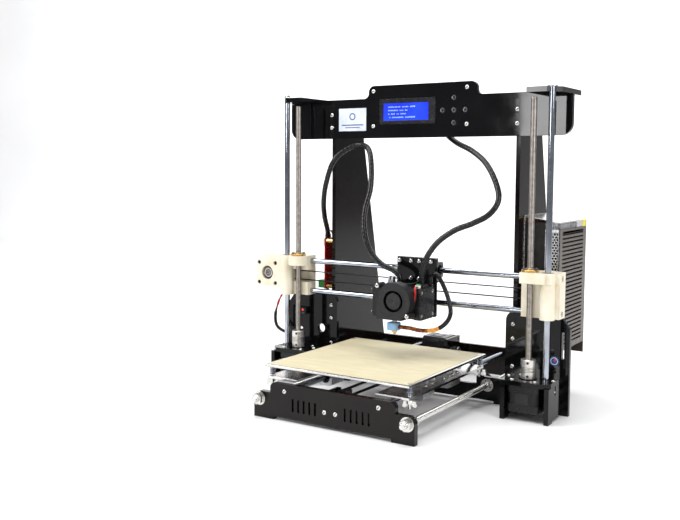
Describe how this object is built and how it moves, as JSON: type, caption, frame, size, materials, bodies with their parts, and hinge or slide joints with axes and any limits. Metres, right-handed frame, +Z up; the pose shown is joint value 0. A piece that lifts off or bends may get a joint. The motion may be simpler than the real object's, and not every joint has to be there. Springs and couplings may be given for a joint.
{
  "type": "fdm printer",
  "caption": "Desktop filament 3D printer with an acrylic portal frame, a sliding heated bed, a gantry lifted by leadscrews, a belt-driven print head, a display and a power supply.",
  "frame": {"origin": "centre of the footprint at table level, bed at mid travel", "axes": "+Z up, +X along the gantry towards the power supply, +Y from the front end plate towards the rear end plate"},
  "size_m": [0.4916, 0.41, 0.439],
  "materials": {
    "black_acrylic": "polished laser-cut sheet",
    "brown_acrylic": "polished laser-cut sheet, a little brown",
    "chrome_rod": "ground and polished",
    "zinc": "zinc-plated",
    "motor": "black housing with bare end caps",
    "belt": "matt",
    "display": "blue display under clear glass",
    "psu_base": "bare folded sheet",
    "psu_cover": "bare folded sheet",
    "red_board": "red solder mask",
    "black_plastic": "moulded",
    "loom": "spiral wrap",
    "ivory": "moulded",
    "brass": "turned",
    "black_plate": "anodised",
    "bright_aluminium": "machined",
    "sink": "black anodised",
    "hot_metal": "bare, wrapped in cotton and tape",
    "braid": "braided glass sleeve",
    "bed_tape": "paper tape over aluminium",
    "key_metal": "moulded"
  },
  "bodies": {
    "frame": {"front_panel": "black_acrylic", "side_plates": "brown_acrylic", "wing_plates": "black_acrylic", "cross_plate": "black_acrylic", "rod_plates": "black_acrylic", "motor_legs": "black_acrylic", "y_front_plate": "brown_acrylic", "y_rear_plate": "brown_acrylic", "frame_rods": "chrome_rod", "frame_fasteners": "zinc", "frame_motors": "motor", "y_brackets": "brown_acrylic", "y_belt": "belt", "lcd_module": "display", "psu_case": "psu_base", "psu_cover": "psu_cover", "control_board": "red_board", "limit_switches": "black_plastic", "head_loom": "loom", "panel_loom": "loom", "bed_loom": "loom", "end_loom": "loom"},
    "x_gantry": {"x_motor_end": "ivory", "x_idler_end": "ivory", "x_rods": "chrome_rod", "x_motor": "motor", "z_guides": "brass", "x_belt": "belt"},
    "x_carriage": {"carriage_plate": "black_plate", "x_bearing_blocks": "bright_aluminium", "extruder_motor": "motor", "drive_block": "black_plate", "heatsink": "sink", "fan_frame": "black_plastic", "blower_housing": "black_plastic", "hot_end": "hot_metal", "heater_cable": "braid"},
    "bed_carriage": {"y_carriage_plate": "bright_aluminium", "y_bearing_blocks": "bright_aluminium", "heated_bed": "bed_tape", "bed_posts": "zinc"},
    "left_leadscrew_body": {"left_leadscrew": "zinc"},
    "right_leadscrew_body": {"right_leadscrew": "zinc"},
    "x_pulley_body": {"x_pulley": "bright_aluminium"},
    "x_idler_body": {"x_idler": "bright_aluminium"},
    "y_pulley_body": {"y_pulley": "bright_aluminium"},
    "y_idler_body": {"y_idler": "bright_aluminium"},
    "drive_gear_body": {"drive_gear": "brass"},
    "blower_rotor_body": {"blower_rotor": "black_plastic"},
    "fan_rotor_body": {"fan_rotor": "black_plastic"},
    "feed_lever_body": {"feed_lever": "bright_aluminium"},
    "key_centre_body": {"key_centre": "key_metal"},
    "key_up_body": {"key_up": "key_metal"},
    "key_down_body": {"key_down": "key_metal"},
    "key_left_body": {"key_left": "key_metal"},
    "key_right_body": {"key_right": "key_metal"},
    "nut_front_left_body": {"nut_front_left": "zinc"},
    "nut_front_right_body": {"nut_front_right": "zinc"},
    "nut_back_left_body": {"nut_back_left": "zinc"},
    "nut_back_right_body": {"nut_back_right": "zinc"}
  },
  "joints": [
    {"name": "z_lift", "type": "slide", "parent": "frame", "child": "x_gantry", "axis": [0, 0, 1], "range_m": [-0.028, 0.2], "deforming": ["head_loom", "panel_loom", "end_loom"]},
    {"name": "x_slide", "type": "slide", "parent": "x_gantry", "child": "x_carriage", "axis": [1, 0, 0], "range_m": [-0.115, 0.105], "deforming": ["head_loom", "panel_loom"]},
    {"name": "y_slide", "type": "slide", "parent": "frame", "child": "bed_carriage", "axis": [0, 1, 0], "range_m": [-0.066, 0.146], "deforming": ["bed_loom"]},
    {"name": "left_screw_turn", "type": "hinge", "parent": "frame", "child": "left_leadscrew_body", "pos_m": [-0.1593, -0.003, 0.23], "axis": [0, 0, 1], "continuous": true},
    {"name": "right_screw_turn", "type": "hinge", "parent": "frame", "child": "right_leadscrew_body", "pos_m": [0.2037, -0.003, 0.23], "axis": [0, 0, 1], "continuous": true},
    {"name": "x_pulley_turn", "type": "hinge", "parent": "x_gantry", "child": "x_pulley_body", "pos_m": [-0.2243, 0.012, 0.1595], "axis": [0, 1, 0], "continuous": true},
    {"name": "x_idler_turn", "type": "hinge", "parent": "x_gantry", "child": "x_idler_body", "pos_m": [0.2172, 0.012, 0.1595], "axis": [0, 1, 0], "continuous": true},
    {"name": "y_pulley_turn", "type": "hinge", "parent": "frame", "child": "y_pulley_body", "pos_m": [0.0222, 0.166, 0.0386], "axis": [1, 0, 0], "continuous": true},
    {"name": "y_idler_turn", "type": "hinge", "parent": "frame", "child": "y_idler_body", "pos_m": [0.0222, -0.166, 0.0386], "axis": [1, 0, 0], "continuous": true},
    {"name": "drive_gear_turn", "type": "hinge", "parent": "x_carriage", "child": "drive_gear_body", "pos_m": [0.0272, -0.035, 0.1421], "axis": [1, 0, 0], "continuous": true},
    {"name": "blower_turn", "type": "hinge", "parent": "x_carriage", "child": "blower_rotor_body", "pos_m": [0.0422, -0.065, 0.1465], "axis": [0, 1, 0], "continuous": true},
    {"name": "fan_turn", "type": "hinge", "parent": "x_carriage", "child": "fan_rotor_body", "pos_m": [0.0062, -0.035, 0.1421], "axis": [1, 0, 0], "continuous": true},
    {"name": "feed_lever_hinge", "type": "hinge", "parent": "x_carriage", "child": "feed_lever_body", "pos_m": [0.0282, -0.0495, 0.1331], "axis": [1, 0, 0], "range_deg": [0, 3.5], "stiffness_Nm_per_rad": 2, "springref_deg": -1.72},
    {"name": "key_centre_press", "type": "slide", "parent": "frame", "child": "key_centre_body", "axis": [0, 1, 0], "range_m": [0, 0.001], "stiffness_N_per_m": 900, "springref_m": -0.0004},
    {"name": "key_up_press", "type": "slide", "parent": "frame", "child": "key_up_body", "axis": [0, 1, 0], "range_m": [0, 0.001], "stiffness_N_per_m": 900, "springref_m": -0.0004},
    {"name": "key_down_press", "type": "slide", "parent": "frame", "child": "key_down_body", "axis": [0, 1, 0], "range_m": [0, 0.001], "stiffness_N_per_m": 900, "springref_m": -0.0004},
    {"name": "key_left_press", "type": "slide", "parent": "frame", "child": "key_left_body", "axis": [0, 1, 0], "range_m": [0, 0.001], "stiffness_N_per_m": 900, "springref_m": -0.0004},
    {"name": "key_right_press", "type": "slide", "parent": "frame", "child": "key_right_body", "axis": [0, 1, 0], "range_m": [0, 0.001], "stiffness_N_per_m": 900, "springref_m": -0.0004},
    {"name": "nut_front_left_turn", "type": "hinge", "parent": "bed_carriage", "child": "nut_front_left_body", "pos_m": [-0.0788, -0.173, 0.044], "axis": [0, 0, 1], "range_deg": [-180, 180]},
    {"name": "nut_front_right_turn", "type": "hinge", "parent": "bed_carriage", "child": "nut_front_right_body", "pos_m": [0.1232, -0.173, 0.044], "axis": [0, 0, 1], "range_deg": [-180, 180]},
    {"name": "nut_back_left_turn", "type": "hinge", "parent": "bed_carriage", "child": "nut_back_left_body", "pos_m": [-0.0788, 0.027, 0.044], "axis": [0, 0, 1], "range_deg": [-180, 180]},
    {"name": "nut_back_right_turn", "type": "hinge", "parent": "bed_carriage", "child": "nut_back_right_body", "pos_m": [0.1232, 0.027, 0.044], "axis": [0, 0, 1], "range_deg": [-180, 180]}
  ],
  "couplings": [
    {"joint": "left_screw_turn", "follows": "z_lift", "rad_per_m": 785.4},
    {"joint": "right_screw_turn", "follows": "z_lift", "rad_per_m": 785.4},
    {"joint": "x_pulley_turn", "follows": "x_slide", "rad_per_m": 152.67},
    {"joint": "x_idler_turn", "follows": "x_slide", "rad_per_m": 152.67},
    {"joint": "y_pulley_turn", "follows": "y_slide", "rad_per_m": -194.17},
    {"joint": "y_idler_turn", "follows": "y_slide", "rad_per_m": -194.17}
  ]
}
